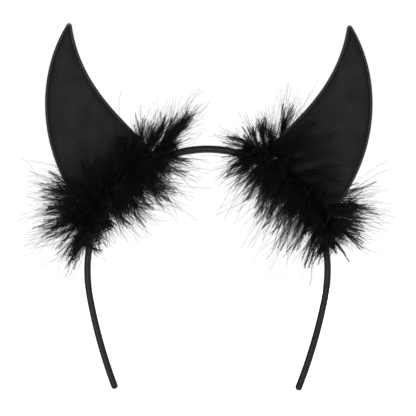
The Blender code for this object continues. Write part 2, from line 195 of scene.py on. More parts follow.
middle = (cad_low + cad_high) / 2
for box_name, (place, size, power) in SOFTBOXES.items():
    softbox(box_name, place, middle, size, power)
print("softboxes:", ", ".join(SOFTBOXES))

# %% [markdown]
# The floor is a sheet of pale paper, level with the lowest point of the headband. It glows a little, as a
# light table does, which keeps it as bright as the room.

# %% Floor
FLOOR_SIZE = 6.0
FLOOR_GLOW = 0.95

floor_mesh = bpy.data.meshes.new("studio_floor")
floor_bm = bmesh.new()
bmesh.ops.create_grid(floor_bm, x_segments=1, y_segments=1, size=FLOOR_SIZE / 2)
floor_bm.to_mesh(floor_mesh)
floor_bm.free()
floor_mesh.transform(Matrix.Translation((0, 0, cad_low.z)))
floor = bpy.data.objects.new("studio_floor", floor_mesh)
bpy.context.scene.collection.objects.link(floor)
floor_paper, floor_shader, _ = new_material(
    "matt_white_paper", "#e8e8e8", Roughness=0.9, Emission_Strength=FLOOR_GLOW,
)
floor_shader.inputs["Emission Color"].default_value = linear("#ffffff")
floor_mesh.materials.append(floor_paper)
print("floor at", round(cad_low.z / MM, 1), "mm")

# %% [markdown]
# ## Finishes
#
# Each finish starts from the real material. The horn cloth is a brushed cotton twill: steep diagonal lines,
# crossed by the flatter rows of the weft, with a short nap over them. Two wave textures draw the lines, with
# a little distortion so that they wander as spun yarn does. Object coordinates place them, because the horns
# are flat, and the two horns are cut as a mirrored pair, so the lines lean opposite ways.

# %% The twill's lines
TWILL_PITCH = 1.55 * MM  # the real one is 0.5 mm, drawn coarser so that it shows
TWILL_SCALE = 1 / TWILL_PITCH * math.pi / 10  # at scale 1, a wave texture's bands are pi / 10 apart
TWILL_ANGLES = (-30, 36)
WEFT_SHARE = 0.42


def twill_lines(tree, place, side):
    """The diagonals of the twill and the rows of its weft, mixed into one height."""
    threads = []
    for angle in TWILL_ANGLES:
        turned = add_node(
            tree, "ShaderNodeMapping", values={"Rotation": (0, math.radians(angle * SIDES[side]), 0)},
            links={"Vector": place},
        )
        threads.append(add_node(
            tree, "ShaderNodeTexWave", {"wave_type": "BANDS", "bands_direction": "X"},
            {"Scale": TWILL_SCALE, "Distortion": 1.6, "Detail": 2.0, "Detail Scale": 3.0},
            {"Vector": turned.outputs["Vector"]},
        ).outputs["Fac"])
    return add_node(
        tree, "ShaderNodeMix", {"data_type": "FLOAT"}, {"Factor": WEFT_SHARE},
        {"A": threads[0], "B": threads[1]},
    ).outputs["Result"]


print("twill lines every", TWILL_PITCH / MM, "mm, leaning", TWILL_ANGLES, "degrees")

# %% [markdown]
# The nap is a fine noise over the lines. A second, slow noise makes the dye a little patchy, as on brushed
# cloth. The two are mixed with the lines, once as a height and once as a tone.

# %% Nap and patches
NAP_SIZE, NAP_SHARE = 0.5 * MM, 0.45
PATCH_SIZE, PATCH_SHARE = 9 * MM, 0.4


def nap_and_tone(tree, place, lines):
    """The lines under their nap, as a height, and the same with slow patches, as a tone."""
    nap = add_node(
        tree, "ShaderNodeTexNoise", values={"Scale": 1 / NAP_SIZE, "Detail": 3.0, "Roughness": 0.7},
        links={"Vector": place},
    )
    patches = add_node(
        tree, "ShaderNodeTexNoise", values={"Scale": 1 / PATCH_SIZE, "Detail": 2.0}, links={"Vector": place},
    )
    relief = add_node(
        tree, "ShaderNodeMix", {"data_type": "FLOAT"}, {"Factor": NAP_SHARE},
        {"A": lines, "B": nap.outputs["Fac"]},
    )
    tone = add_node(
        tree, "ShaderNodeMix", {"data_type": "FLOAT"}, {"Factor": PATCH_SHARE},
        {"A": relief.outputs["Result"], "B": patches.outputs["Fac"]},
    )
    return relief.outputs["Result"], tone.outputs["Result"]


print("nap of", NAP_SIZE / MM, "mm over patches of", PATCH_SIZE / MM, "mm")

# %% [markdown]
# Brushed cotton has nearly no gloss, so its black is soft and dry. Along the edge stitch the colour carries
# painted shade, standing in for the shade of the seam's groove and rim: the panels carry it as an attribute
# of their own, which is 1 on the stitch line and fades into the face.

# %% Brushed twill for the horns
NAP_RELIEF = 0.06 * MM
# the strongest darkening by the painted seam shade
PAINTED_SEAM_SHADE_STRENGTH = 0.60
DYE_RANGE = (0.3, 0.7)


def brushed_twill(side):
    """Black cotton twill, brushed: nearly no gloss, faint diagonal lines, and a patchy nap."""
    material, shader, tree = new_material(
        f"brushed_black_cotton_twill_{side}", "#171717", Roughness=0.85, Specular_IOR_Level=0.10,
        Sheen_Weight=0.05, Sheen_Roughness=0.5,
    )
    place = add_node(tree, "ShaderNodeTexCoord").outputs["Object"]
    relief, tone = nap_and_tone(tree, place, twill_lines(tree, place, side))
    dye = add_node(tree, "ShaderNodeValToRGB", links={"Fac": tone})
    dye.color_ramp.elements[0].position, dye.color_ramp.elements[1].position = DYE_RANGE
    dye.color_ramp.elements[0].color = linear("#0c0c0c")
    dye.color_ramp.elements[1].color = linear("#202020")
    raised = add_node(
        tree, "ShaderNodeBump", values={"Strength": 0.35, "Distance": NAP_RELIEF}, links={"Height": relief},
    )
    # painted shade along the seam, read from the panel's attribute, darkens the dye
    pinch = add_node(tree, "ShaderNodeAttribute", {"attribute_name": "pinch"})
    seam_shade_factor = add_node(
        tree, "ShaderNodeMath", {"operation": "MULTIPLY_ADD"}, {1: -PAINTED_SEAM_SHADE_STRENGTH, 2: 1.0},
        {0: pinch.outputs["Fac"]},
    )
    shaded = add_node(
        tree, "ShaderNodeVectorMath", {"operation": "SCALE"},
        links={0: dye.outputs["Color"], "Scale": seam_shade_factor.outputs["Value"]},
    )
    tree.links.new(shaded.outputs["Vector"], shader.inputs["Base Color"])
    tree.links.new(raised.outputs["Normal"], shader.inputs["Normal"])
    return material


twill = {side: brushed_twill(side) for side in SIDES}
print("twill materials:", [m.name for m in twill.values()])

# %% [markdown]
# The other finishes are dyed fibre or moulded plastic, and they differ in gloss and grain. One helper makes
# them all: a noise of the grain's real size varies the tone a little and gives a fine relief. A plain colour
# would look like one sheet of vinyl.

# %% A speckled finish
GRAIN_RANGE = (0.35, 0.65)


def speckled(name, dark, light, grain, bump, **shader_values):
    """A dyed finish whose tone varies a little from grain to grain, with a fine relief of the same grain."""
    material, shader, tree = new_material(name, dark, **shader_values)
    place = add_node(tree, "ShaderNodeTexCoord").outputs["Object"]
    grains = add_node(
        tree, "ShaderNodeTexNoise", values={"Scale": 1 / grain, "Detail": 4.0, "Roughness": 0.6},
        links={"Vector": place},
    )
    dye = add_node(tree, "ShaderNodeValToRGB", links={"Fac": grains.outputs["Fac"]})
    dye.color_ramp.elements[0].position, dye.color_ramp.elements[1].position = GRAIN_RANGE
    dye.color_ramp.elements[0].color = linear(dark)
    dye.color_ramp.elements[1].color = linear(light)
    raised = add_node(
        tree, "ShaderNodeBump", values={"Strength": 0.4, "Distance": bump},
        links={"Height": grains.outputs["Fac"]},
    )
    tree.links.new(dye.outputs["Color"], shader.inputs["Base Color"])
    tree.links.new(raised.outputs["Normal"], shader.inputs["Normal"])
    return material


print("grains show between", GRAIN_RANGE[0], "and", GRAIN_RANGE[1], "of the noise")

# %% [markdown]
# The sleeve is a ribbed polyester satin cut on the bias, so fine cords run round the band at a slant. The
# cords themselves are in the mesh, and the material only adds the filament sheen along them and a slight
# unevenness of the dye. Thread is spun polyester: glossier than the cloth, and the thread over the rim also
# has a painted highlight in its colour, which is why single stitches catch the light. The plumes are dyed
# down with almost no gloss, and they are the deepest black of all.

# %% Satin, thread and plume
# woven filament: a soft shine that follows the cords
satin = speckled(
    "ribbed_black_polyester_satin", "#121212", "#1a1a1a", 0.5 * MM, 0.02 * MM,
    Roughness=0.50, Specular_IOR_Level=0.12,
)
# spun fibre: a small highlight along each strand
thread = speckled(
    "black_spun_polyester_thread", "#1c1c1c", "#303030", 0.2 * MM, 0.03 * MM,
    Roughness=0.35, Specular_IOR_Level=0.35,
)
# the same thread pulled tight over the rim: it shows the softbox in its gloss, and its colour is painted
# lighter than the thread's as a painted highlight, so it looks grey beside the twill
thread_with_painted_highlight = speckled(
    "black_overlock_thread_painted_highlight", "#3c3c3c", "#5e5e5e", 0.2 * MM, 0.02 * MM,
    Roughness=0.35, Specular_IOR_Level=0.40,
)
# down soaks up the dye, and its hairs shade each other
plume_down = speckled(
    "black_dyed_marabou_down", "#050505", "#0b0b0b", 1.5 * MM, 0.02 * MM,
    Roughness=0.55, Specular_IOR_Level=0.12,
)
print("finishes on show:", [m.name for m in (satin, thread, thread_with_painted_highlight, plume_down)])

# %% [markdown]
# Little shows of the string, the felt and the moulded core, but the gaps between the plumes let the eye in.
# The string is dry twisted cotton, the felt of the tab and the stiffener is a mat of fibres, and the core is
# polypropylene with the even, waxy look of a moulding. The frame's own pieces whose shape is right stay as
# they are, and only get the finish here.

# %% String, felt and moulded core
dyed_string = speckled(
    "black_dyed_cotton_string", "#080808", "#101010", 0.3 * MM, 0.04 * MM,
    Roughness=0.9, Specular_IOR_Level=0.08,
)
needled_felt = speckled(
    "stiff_black_needled_felt", "#161616", "#262626", 0.6 * MM, 0.10 * MM,
    Roughness=0.95, Specular_IOR_Level=0.1,
)
moulded_core = speckled(
    "black_moulded_polypropylene", "#1a1a1a", "#1e1e1e", 0.8 * MM, 0.01 * MM,
    Roughness=0.45, Specular_IOR_Level=0.4,
)
for node_name, node in frame["nodes"].items():
    if "core" in node_name:
        node.data.materials[0] = moulded_core
    elif "stiffener" in node_name or "tab" in node_name:
        node.data.materials[0] = needled_felt
    elif "tack" in node_name:
        node.data.materials[0] = dyed_string
print("finishes:", len(bpy.data.materials))

# %% [markdown]
# ## The band's line
#
# The band is a half circle over the head that opens into two slacker arcs down each leg. The circle is found
# from the frame: both flex joints of a side lie on it, and its centre is in the plane of symmetry. A point
# on the band is then given by how far it is along the line from the level of the circle's centre.

# %% The band's line
upper, lower = (Vector(joints[f"right_{name}_flex"]["pos_m"]) for name in ("band", "leg"))
circle_z = (lower.length_squared - upper.length_squared) / (2 * (lower.z - upper.z))
crown_radius = math.hypot(upper.x, upper.z - circle_z)
crown_flex = math.atan2(upper.z - circle_z, upper.x)
leg_flex = math.atan2(lower.z - circle_z, lower.x)


def on_circle(side, radius, angle, y=0.0):
    """A point at a radius and an angle up round the crown's circle."""
    return Vector((side * radius * math.cos(angle), y, circle_z + radius * math.sin(angle)))


print("crown's circle:", round(crown_radius / MM, 2), "mm radius, centre at", round(circle_z / MM, 2), "mm")

# %% [markdown]
# Below that level each leg is two arcs: a short one at the temple, slacker than the crown's circle, and a
# long one that is nearly straight. Each arc starts where the last one ends and in its direction, so the line
# has no corner.

# %% Down the legs
TEMPLE_RADIUS = 89.5 * MM
TEMPLE_TURN = math.radians(10.9)
LEG_RADIUS = 295.0 * MM
LEG_TURN = math.radians(9.9)
TIP_DOME = 2.8 * MM


def band_place(side, run):
    """The band's middle line at a run down from the circle's level (negative above it), and outwards."""
    if run <= 0:
        angle = -run / crown_radius
        centre, radius = Vector((0, 0, circle_z)), crown_radius
    else:
        temple_run = TEMPLE_RADIUS * TEMPLE_TURN
        temple_centre = Vector((side * (crown_radius - TEMPLE_RADIUS), 0, circle_z))
        if run <= temple_run:
            angle, centre, radius = -run / TEMPLE_RADIUS, temple_centre, TEMPLE_RADIUS
        else:
            spoke = Vector((side * math.cos(TEMPLE_TURN), 0, -math.sin(TEMPLE_TURN)))
            centre = temple_centre - spoke * (LEG_RADIUS - TEMPLE_RADIUS)
            angle, radius = -TEMPLE_TURN - (run - temple_run) / LEG_RADIUS, LEG_RADIUS
    outwards = Vector((side * math.cos(angle), 0, math.sin(angle)))
    return centre + outwards * radius, outwards


def run_at(angle):
    return -crown_radius * angle


tip_run = TEMPLE_RADIUS * TEMPLE_TURN + LEG_RADIUS * LEG_TURN + TIP_DOME
print("leg ends at", [round(c / MM, 1) for c in band_place(1, tip_run)[0]], "mm")

# %% [markdown]
# ## The satin sleeve
#
# On the real band the sleeve is one narrow tube of cloth pulled over the core and bonded at the tips. It
# could be a curve with a bevel, but then its cords would only be drawn on it. Here it is a ring of points
# extruded along the band's line, so each ring can be shaped: the section is a rounded rectangle, and a wave
# that runs round it at a slant raises the cords.

# %% A ring of the sleeve
BAND_WIDTH = 5.6 * MM
CROWN_THICKNESS = 4.3 * MM
LEG_THICKNESS = 3.9 * MM
LEG_EASING = 12 * MM
SECTION_POWER = 2.6  # 2 is an ellipse, more is squarer
RING_POINTS = 26
RIB_PITCH = 1.45 * MM
RIB_HEIGHT = 0.11 * MM
RIBS_ROUND = 7


def band_thickness(run):
    """The thickness eases from the crown's to the leg's below the lower flex."""
    share = min(max((run - run_at(leg_flex)) / LEG_EASING, 0), 1)
    return CROWN_THICKNESS + (LEG_THICKNESS - CROWN_THICKNESS) * share * share * (3 - 2 * share)


def section_ring(side, run, shrink=1.0):
    """One ring of the sleeve, with the slanting cords raised on it."""
    centre, outwards = band_place(side, run)
    points = []
    for i in range(RING_POINTS):
        turn = 2 * math.pi * i / RING_POINTS
        across, along = math.cos(turn), math.sin(turn)
        radial = math.copysign(abs(across) ** (2 / SECTION_POWER), across) * band_thickness(run) / 2
        y = math.copysign(abs(along) ** (2 / SECTION_POWER), along) * BAND_WIDTH / 2
        rib = RIB_HEIGHT * (math.cos(2 * math.pi * run / RIB_PITCH + side * RIBS_ROUND * turn) - 1)
        grown = shrink * (1 + rib / (BAND_WIDTH / 2))
        points.append(centre + outwards * radial * grown + Vector((0, y * grown, 0)))
    return points


print("sleeve", BAND_WIDTH / MM, "mm wide, a cord every", RIB_PITCH / MM, "mm")

# %% [markdown]
# Every piece below ends in the same way: its bmesh becomes an object at the origin, with its faces outwards,
# smooth shading and one material. So that is one helper. The sleeve's own helper extrudes the ring step by
# step, and at a tip it closes the tube in a low dome.

# %% Sleeve builder
RING_STEP = 0.36 * MM
TIP_ROUND = 1.9 * MM
DOME_RINGS, DOME_POWER = 9, 0.8


def piece_from(bm, name, material):
    """The bmesh as a finished piece, faces outwards and smooth."""
    bmesh.ops.recalc_face_normals(bm, faces=bm.faces)
    mesh = bpy.data.meshes.new(name)
    bm.to_mesh(mesh)
    bm.free()
    mesh.shade_smooth()
    mesh.materials.append(material)
    piece = bpy.data.objects.new(name, mesh)
    bpy.context.scene.collection.objects.link(piece)
    return piece


def sleeve_stretch(name, side, first_run, last_run, closed_tip=False):
    """Extrudes a ring along the band, and closes it in a dome if it ends at a tip."""
    bm = bmesh.new()
    steps = max(2, round((last_run - first_run) / RING_STEP))
    runs = [(first_run + (last_run - first_run) * i / steps, 1.0) for i in range(steps + 1)]
    if closed_tip:
        flat_end = last_run - TIP_ROUND
        runs = [pair for pair in runs if pair[0] < flat_end]
        for i in range(DOME_RINGS):
            turn = math.pi / 2 * i / DOME_RINGS
            runs.append((flat_end + TIP_ROUND * math.sin(turn), math.cos(turn) ** DOME_POWER))
    ring = [bm.verts.new(p) for p in section_ring(side, *runs[0])]
    edges = [bm.edges.new((ring[i - 1], ring[i])) for i in range(RING_POINTS)]
    for run in runs[1:]:
        made = bmesh.ops.extrude_edge_only(bm, edges=edges)["geom"]
        edges = [g for g in made if isinstance(g, bmesh.types.BMEdge)]
        new_ring = [g for g in made if isinstance(g, bmesh.types.BMVert)]
        for vert, place in zip(new_ring, section_ring(side, *run)):
            vert.co = place
    if closed_tip:
        bmesh.ops.holes_fill(bm, edges=edges, sides=0)
    return piece_from(bm, name, satin)


print("sleeve rings every", RING_STEP / MM, "mm")

# %% [markdown]
# The band bends at its flex joints, so the sleeve is in stretches, and the cuts between stretches lie where
# nothing bends. The shoulder and leg stretches are only baked in place here, and aren't given a body.

# %% Sleeve stretches of the shoulders and legs
SEAM_ANGLE = crown_flex + math.radians(4.5)
SHOULDER_SEAM_ANGLE = (crown_flex + leg_flex) / 2


def blend_at(piece):
    """Bakes the stretch's placement into its mesh; it blends across no joint here."""
    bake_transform(piece)


for side_name, side in SIDES.items():
    first, middle_seam = run_at(SEAM_ANGLE), run_at(SHOULDER_SEAM_ANGLE)
    shoulder = sleeve_stretch(f"{side_name}_satin_sleeve_shoulder", side, first, middle_seam)
    blend_at(shoulder)
    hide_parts(f"{side_name}_sleeve_shoulder")
    leg = sleeve_stretch(f"{side_name}_satin_sleeve_leg", side, middle_seam, tip_run, closed_tip=True)
    blend_at(leg)
    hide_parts(f"{side_name}_sleeve_leg", f"{side_name}_tip_cap")
    print(side_name, "sleeve:", len(shoulder.data.polygons) + len(leg.data.polygons), "faces")

# %% [markdown]
# The crown's stretch is the same tube, from one side's seam over the top to the other's. It crosses no joint.

# %% Sleeve of the crown
crown_run = run_at(SEAM_ANGLE)
crown_sleeve = sleeve_stretch("satin_sleeve_crown", 1, -math.pi * crown_radius - crown_run, crown_run)
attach(crown_sleeve, "crown")
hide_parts("sleeve_crown")
print(crown_sleeve.name, len(crown_sleeve.data.polygons), "faces")

# %% [markdown]
# ## The horns' outline
#
# Each horn is a crescent between two Bezier curves, from its foot on the band to a point that a small circle
# rounds off. The two horns are one pattern, turned over. The same four control points per edge that cut the
# stiffener and the panels draw every seam here, so a stitch can be placed by how far it is along the edge and
# how far in from it.

# %% Outline of a horn
HORN_FOOT_GAP = 1.1 * MM
HORN_FOOT_RADIUS = crown_radius + CROWN_THICKNESS / 2 + HORN_FOOT_GAP
HORN_OUTER_FOOT, HORN_INNER_FOOT = math.radians(22.5), math.radians(65)
HORN_POINT = Vector((78.9, 76.3)) * MM
HORN_OUTER = [
    on_circle(1, HORN_FOOT_RADIUS, HORN_OUTER_FOOT).xz, Vector((100.2, -2.9)) * MM,
    Vector((99.8, 46.7)) * MM, HORN_POINT,
]
HORN_INNER = [
    on_circle(1, HORN_FOOT_RADIUS, HORN_INNER_FOOT).xz, Vector((43.6, 16.0)) * MM,
    Vector((74.8, 35.1)) * MM, HORN_POINT,
]


def bezier(points, t):
    """Place and heading on a cubic Bezier curve."""
    a, b, c, d = points
    place = a * (1 - t) ** 3 + b * 3 * t * (1 - t) ** 2 + c * 3 * t**2 * (1 - t) + d * t**3
    heading = (b - a) * (1 - t) ** 2 + (c - b) * 2 * t * (1 - t) + (d - c) * t**2
    return place, heading.normalized()


def beside(points, t, distance):
    """A point beside the curve: to the left of its heading, or to the right if negative."""
    place, heading = bezier(points, t)
    return place + Vector((-heading.y, heading.x)) * distance


print("a horn's point is", round(HORN_POINT.length / MM, 1), "mm from the middle of the headband")

# %% [markdown]
# A sewn point is never sharp: the cloth turns round it in a small arc. The arc's centre is where the two
# edges, each moved in by the arc's radius, come closest.

# %% The rounded point
HORN_TIP_RADIUS = 1.6 * MM
NEAR_POINT = (0.6, 1.0)
CURVE_STEPS, TIP_STEPS = 400, 40


def rounded_tip():
    """The circle that rounds the point, and where it leaves the outer and the inner edge."""
    turns = np.linspace(*NEAR_POINT, CURVE_STEPS)
    first = np.array([beside(HORN_OUTER, t, HORN_TIP_RADIUS) for t in turns])
    second = np.array([beside(HORN_INNER, t, -HORN_TIP_RADIUS) for t in turns])
    apart = np.linalg.norm(first[:, None] - second[None], axis=2)
    i, j = np.unravel_index(apart.argmin(), apart.shape)
    return Vector(first[i]), turns[i], turns[j]


tip_centre, outer_end, inner_end = rounded_tip()
tip_start, tip_stop = (
    math.atan2(*reversed(bezier(edge, t)[0] - tip_centre))
    for edge, t in ((HORN_OUTER, outer_end), (HORN_INNER, inner_end))
)
print("the point turns by", round(math.degrees(tip_stop - tip_start)), "degrees")

# %% [markdown]
# Stitches go round the free edge at an even pitch, so the edge is measured along its length: up the outer
# curve, round the point and down the inner one.

# %% The free edge
def on_side(side_name, point):
    """A point of the pattern on its side of the headband: X and Z in the frame."""
    return Vector((SIDES[side_name] * point[0], point[1]))


def free_edge(spacing):
    """The free edge, foot to tip to foot, as evenly spaced points with their headings."""
    fine = [bezier(HORN_OUTER, outer_end * i / CURVE_STEPS)[0] for i in range(CURVE_STEPS)]
    for i in range(TIP_STEPS):
        turn = tip_start + (tip_stop - tip_start) * i / TIP_STEPS
        fine.append(tip_centre + Vector((math.cos(turn), math.sin(turn))) * HORN_TIP_RADIUS)
    for i in range(CURVE_STEPS + 1):
        fine.append(bezier(HORN_INNER, inner_end * (CURVE_STEPS - i) / CURVE_STEPS)[0])
    fine = np.array(fine)
    run = np.concatenate([[0], np.cumsum(np.linalg.norm(np.diff(fine, axis=0), axis=1))])
    even = np.arange(0, run[-1], spacing)
    places = np.stack([np.interp(even, run, fine[:, k]) for k in (0, 1)], axis=1)
    headings = np.gradient(places, axis=0)
    headings /= np.linalg.norm(headings, axis=1)[:, None]
    return even, places, headings


print("free edge of a horn:", round(float(free_edge(MM)[0][-1]) / MM), "mm")

# %% [markdown]
# ## The horn's cloth panels
#
# A sewn horn isn't a flat plate. The overlock stitch pinches its rim, the needle's line pulls a groove just
# inside, and the cloth between stands a little proud over the felt. A subdivided cage would give the same
# soft form, but the groove has to follow the edge at a fixed distance. So the panel is a strip bridged from
# one edge of the crescent to the other, with its cross cuts crowded at the rims, and each point is then
# lifted by how far in from the rim it lies.

# %% Rows across the horn
PANEL_ROWS, TIP_ROWS = 84, 6
RIM_INSETS = [d * MM for d in (0, 0.1, 0.3, 0.6, 0.95, 1.3, 1.65, 2.1, 2.8)]
RIM_ROOM = 1.25
INNER_CUTS = 14


def panel_row(share):
    """The two ends of a row across the horn: its outer and its inner edge, at a share of the height."""
    if share <= 1:
        return bezier(HORN_OUTER, outer_end * share)[0], bezier(HORN_INNER, inner_end * share)[0]
    middle_turn = (tip_start + tip_stop) / 2
    turns = [start + (middle_turn - start) * (share - 1) for start in (tip_start, tip_stop)]
    return [tip_centre + Vector((math.cos(t), math.sin(t))) * HORN_TIP_RADIUS for t in turns]


def cross_shares(width):
    """Where a row is cut: crowded at both rims by real distances, and even between them."""
    squeeze = min(1.0, width / 2 / (RIM_INSETS[-1] * RIM_ROOM))
    rims = [d * squeeze / width for d in RIM_INSETS]
    first, last = rims[-1], 1 - rims[-1]
    inner = [first + (last - first) * i / (INNER_CUTS + 1) for i in range(1, INNER_CUTS + 1)]
    return rims + inner + [1 - r for r in reversed(rims)]


print("each row is cut", 2 * len(RIM_INSETS) + INNER_CUTS, "times")

# %% [markdown]
# The cloth's height is a sum of simple parts, each with its real size: the rounded rim, the groove of the
# needle's line, the puff between the seams and two sizes of ripple. At the foot the tab holds the cloth
# flat, so puff and ripple fade out there.

# %% Height of the cloth
PANEL_FACE = 1.50 * MM
RIM_WIDTH, RIM_POWER = 1.15 * MM, 2.2
GROOVE_INSET, GROOVE_WIDTH, GROOVE_DEPTH = 1.75 * MM, 0.5 * MM, 0.35 * MM
FOOT_HELD, FOOT_EASING = 0.06, 0.14
PUFF = {"left": 0.65 * MM, "right": 0.75 * MM}
PUFF_REACH = 5 * MM
RIPPLE = {"left": 0.16 * MM, "right": 0.30 * MM}
SLOW_RIPPLE, QUICK_RIPPLE = (13 * MM, 17 * MM), (5 * MM, 7 * MM)
QUICK_SHARE, QUICK_PLACE = 0.35, 4


def cloth_height(side_name, place, inset, share):
    """How far the cloth stands from the horn's middle plane."""
    rim = min(inset / RIM_WIDTH, 1.0)
    height = PANEL_FACE * math.sqrt(max(1 - (1 - rim) ** RIM_POWER, 0))
    height -= GROOVE_DEPTH * math.exp(-((inset - GROOVE_INSET) / GROOVE_WIDTH) ** 2)
    free = min(max((share - FOOT_HELD) / FOOT_EASING, 0), 1)
    inward = 1 - math.exp(-max(inset - GROOVE_INSET, 0) / PUFF_REACH)
    height += PUFF[side_name] * inward * free
    slow = noise.noise(Vector((place.x / SLOW_RIPPLE[0], place.y / SLOW_RIPPLE[1], SIDES[side_name])))
    quick = noise.noise(Vector((place.x / QUICK_RIPPLE[0], place.y / QUICK_RIPPLE[1], QUICK_PLACE)))
    return height + RIPPLE[side_name] * inward * free * (slow + QUICK_SHARE * quick)


print("the cloth puffs out by", {name: puff / MM for name, puff in PUFF.items()}, "mm")

# %% [markdown]
# The rows are bridged one after another, from the foot to the point. The foot's row follows the band's
# circle, and that bend fades out up the horn. Each point also gets its share of painted shade beside the
# stitches, standing in for the shade of the seam's groove.

# %% Panel builder
ROW_CROWDING = 0.9
FOOT_BEND = 1.6
LEAST_HEIGHT = 0.02 * MM
# how far the painted seam shade fades into the face, and how it eases out
PAINTED_SEAM_SHADE_REACH, PAINTED_SEAM_SHADE_POWER = 4.6 * MM, 1.5


def lay_cloth(bm, side_name, face):
    """Rows bridged across the crescent and lifted to the cloth's form. Returns each point's painted seam
    shade.
    """
    shares = [(i / PANEL_ROWS) ** ROW_CROWDING for i in range(PANEL_ROWS + 1)]
    shares += [1 + i / TIP_ROWS for i in range(1, TIP_ROWS)]
    foot_ends = panel_row(0)
    painted_seam_shades = []
    previous = None
    for share in shares:
        outer, inner = panel_row(share)
        width = (inner - outer).length
        verts = []
        for cross in cross_shares(width):
            flat = outer.lerp(inner, cross)
            foot_turn = HORN_OUTER_FOOT + (HORN_INNER_FOOT - HORN_OUTER_FOOT) * cross
            foot = on_circle(1, HORN_FOOT_RADIUS, foot_turn).xz
            to_foot = foot - foot_ends[0].lerp(foot_ends[1], cross)
            flat = flat + to_foot * max(1 - share * FOOT_BEND, 0) ** 2
            place = on_side(side_name, flat)
            inset = min(cross, 1 - cross) * width
            height = cloth_height(side_name, place, inset, share)
            verts.append(bm.verts.new((place.x, face * max(height, LEAST_HEIGHT), place.y)))
            # painted seam shade: full up to the groove, then fading into the face
            fade = max(inset - GROOVE_INSET, 0) / PAINTED_SEAM_SHADE_REACH
            painted_seam_shades.append(max(1 - fade, 0) ** PAINTED_SEAM_SHADE_POWER)
        row = [bm.edges.new(pair) for pair in zip(verts, verts[1:])]
        if previous:
            bmesh.ops.bridge_loops(bm, edges=previous + row)
        previous = row
    return painted_seam_shades


print("bend of the foot fades out", round(1 / FOOT_BEND, 2), "of the way up")

# %% [markdown]
# A Solidify modifier gives the cloth its thickness, inwards from the outside face, so the horn keeps its
# size. The panel is a stretched sheet.

# %% The four panels
CLOTH_THICKNESS = 0.35 * MM


def horn_cloth(side_name, face_name, face):
    """One panel, with its painted seam shade as an attribute and its thickness."""
    bm = bmesh.new()
    painted_seam_shades = lay_cloth(bm, side_name, face)
    piece = piece_from(bm, f"{side_name}_horn_{face_name}_cloth", twill[side_name])
    piece.data.attributes.new("pinch", "FLOAT", "POINT").data.foreach_set("value", painted_seam_shades)
    facing = sum((p.normal.y * p.area for p in piece.data.polygons), 0.0)
    if facing * face < 0:
        piece.data.flip_normals()
    cloth = piece.modifiers.new("cloth", "SOLIDIFY")
    cloth.thickness = CLOTH_THICKNESS
    cloth.offset = -1
    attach(piece, f"{side_name}_horn")
    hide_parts(f"{side_name}_horn_{face_name}_panel")
    return piece


for side_name in SIDES:
    for face_name, face in (("front", -1), ("back", 1)):
        panel = horn_cloth(side_name, face_name, face)
        print(panel.name, len(panel.data.polygons), "faces")

# %% [markdown]
# ## Thread
#
# Thread is round, so each run of it is a curve with a bevel, turned into a mesh. Extruding a ring along it
# would give the same tube, but the curve also turns the section evenly where the thread winds.

# %% Thread builder
MERGE = 0.001 * MM


def add_spline(curve, points):
    """A straight-sided spline through these points."""
    spline = curve.splines.new("POLY")
    spline.points.add(len(points) - 1)
    spline.points.foreach_set("co", np.c_[points, np.ones(len(points))].astype(np.float32).ravel())
    return spline


def piece_of_curve(name, curve, material, merge):
    """The drawn curve as a finished mesh piece, with its doubles merged."""
    drawn = bpy.data.objects.new(name, curve)
    bpy.context.scene.collection.objects.link(drawn)
    graph = bpy.context.evaluated_depsgraph_get()
    bm = bmesh.new()
    bm.from_mesh(bpy.data.meshes.new_from_object(drawn.evaluated_get(graph)))
    bpy.data.objects.remove(drawn)
    bmesh.ops.remove_doubles(bm, verts=bm.verts, dist=merge)
    return piece_from(bm, name, material)


def thread_piece(name, runs, radius, material=thread):
    """Open or closed round threads through lists of points, as one mesh piece."""
    curve = bpy.data.curves.new(name, "CURVE")
    curve.dimensions = "3D"
    curve.bevel_depth = radius
    curve.bevel_resolution = 1
    curve.use_fill_caps = True
    for points in runs:
        add_spline(curve, points)
    return piece_of_curve(name, curve, material, MERGE)


print("points of a thread closer than", MERGE / MM, "mm are merged")

# %% [markdown]
# The rim is overlocked: one thread wraps the edge at every stitch, and the needle's thread runs along just
# inside it, dipping into the cloth between stitches. The wrapping thread is a helix flattened to the rim's
# form. Its loops are glossy and carry a painted highlight in their colour, so they are the bright dots that
# one sees, and the needle's thread is darker and marks the inner side of the seam. A stitch is 1.3 mm long,
# as on thin costume work.

# %% Overlock of the horns
STITCH = 1.3 * MM
WRAP_POINTS, NEEDLE_POINTS = 12, 6
WRAP_THREAD, NEEDLE_THREAD = 0.19 * MM, 0.16 * MM  # real thread has 0.12 mm radius, thicker here to show
WRAP_MIDDLE, WRAP_REACH = 0.80 * MM, 0.60 * MM
WRAP_PROUD, WRAP_POWER = 0.20 * MM, 0.7
NEEDLE_DIP, NEEDLE_RISE = 0.60 * MM, 0.75 * MM


